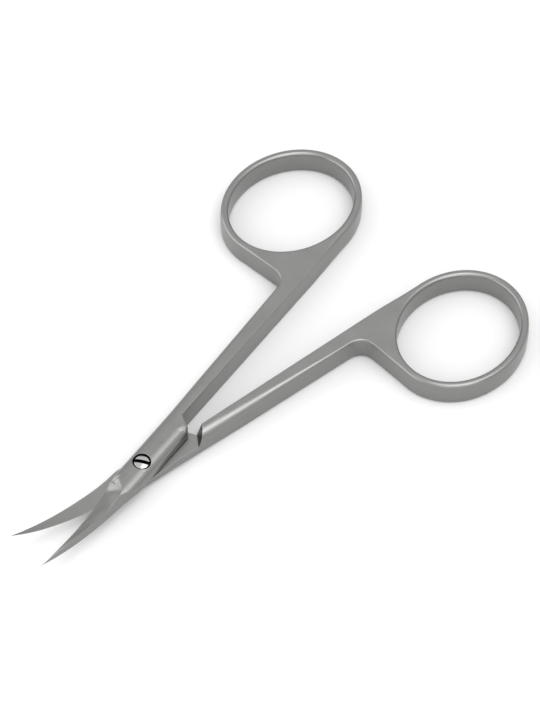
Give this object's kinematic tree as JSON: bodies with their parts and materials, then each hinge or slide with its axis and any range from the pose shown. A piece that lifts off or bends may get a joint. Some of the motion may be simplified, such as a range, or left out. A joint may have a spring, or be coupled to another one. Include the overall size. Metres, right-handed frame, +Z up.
{
  "type": "cuticle scissors",
  "caption": "Fine cuticle scissors: forged halves with oval finger rings, a lapped box joint, hollow-ground blades that curve up to points, and a slotted pivot screw.",
  "frame": {"origin": "on the pivot axis, in the plane the scissors rest on", "axes": "+X from the blade tips to the finger rings along the middle of the open halves, +Y towards the ring of the upper half, +Z up along the pivot axis"},
  "size_m": [0.0936, 0.06, 0.0076],
  "materials": {
    "satin_steel": "satin stainless steel, bead-blasted and barrel finished to a fine even grain",
    "polished_steel": "polished stainless steel"
  },
  "bodies": {
    "lower_half": {"lower_half": "satin_steel"},
    "upper_half": {"upper_half": "satin_steel"},
    "pivot_screw": {"pivot_screw": "polished_steel"}
  },
  "joints": [
    {"name": "blade_pivot", "type": "hinge", "parent": "lower_half", "child": "upper_half", "pos_m": [0, 0, 0.00235], "axis": [0, 0, 1], "range_deg": [-16, 74]},
    {"name": "tension_screw", "type": "hinge", "parent": "lower_half", "child": "pivot_screw", "pos_m": [0, 0, 0.00235], "axis": [0, 0, 1], "range_deg": [-45, 45]}
  ]
}
